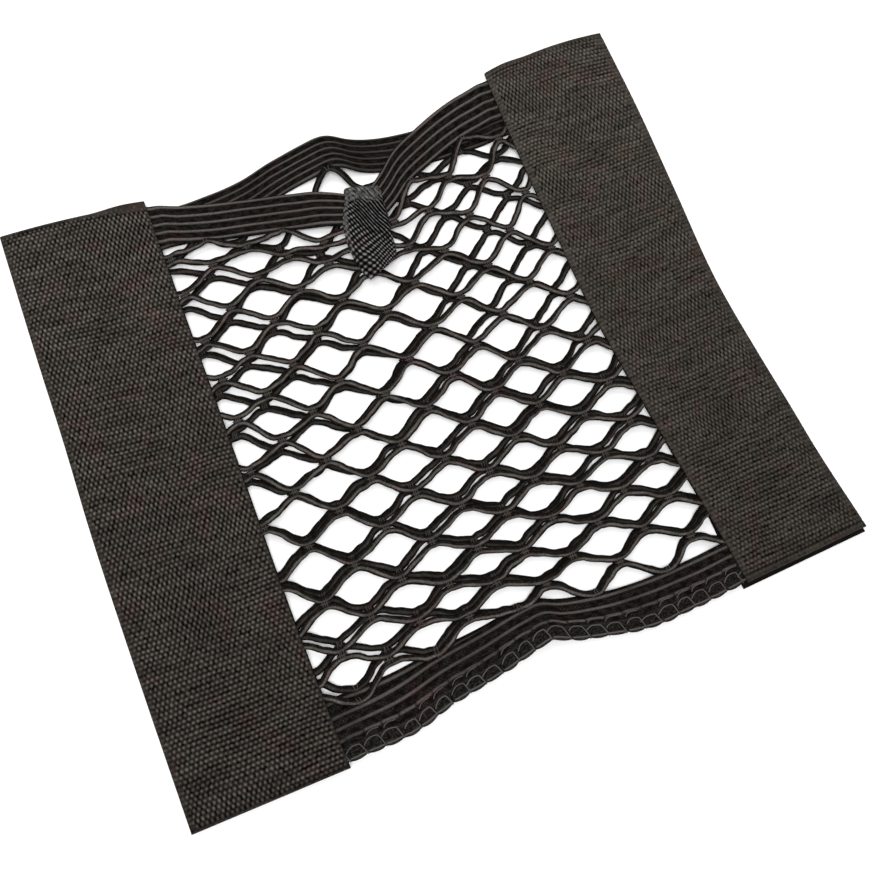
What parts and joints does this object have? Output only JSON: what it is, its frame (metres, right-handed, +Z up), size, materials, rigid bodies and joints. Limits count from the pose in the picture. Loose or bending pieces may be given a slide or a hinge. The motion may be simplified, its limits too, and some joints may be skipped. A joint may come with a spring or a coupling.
{
  "type": "cargo net",
  "caption": "Elastic net pocket for a car boot: layered diamond cord net between ribbed elastic bands, sewn into woven strips backed with hook tape, with a pull tab at the mouth.",
  "frame": {"origin": "middle of the lying pocket, on the surface it lies on", "axes": "+X from the left strip to the right strip, +Y towards the mouth of the pocket, +Z up"},
  "size_m": [0.2888, 0.2585, 0.0073],
  "materials": {
    "woven_webbing": "matt black woven webbing with a light fleck and a brown cast",
    "hook_tape": "matt black hook tape",
    "elastic_cord": "matt black braided elastic cord",
    "ribbed_elastic": "matt black ribbed elastic band",
    "coarse_webbing": "matt black coarse webbing with a light fleck"
  },
  "bodies": {
    "root": {"left_face_webbing": "woven_webbing", "right_face_webbing": "woven_webbing", "left_hook_tape": "hook_tape", "right_hook_tape": "hook_tape", "back_net": "elastic_cord", "front_net": "elastic_cord", "back_top_band": "ribbed_elastic", "front_top_band": "ribbed_elastic", "back_bottom_band": "ribbed_elastic", "front_bottom_band": "ribbed_elastic", "pull_tab": "coarse_webbing"}
  },
  "joints": []
}
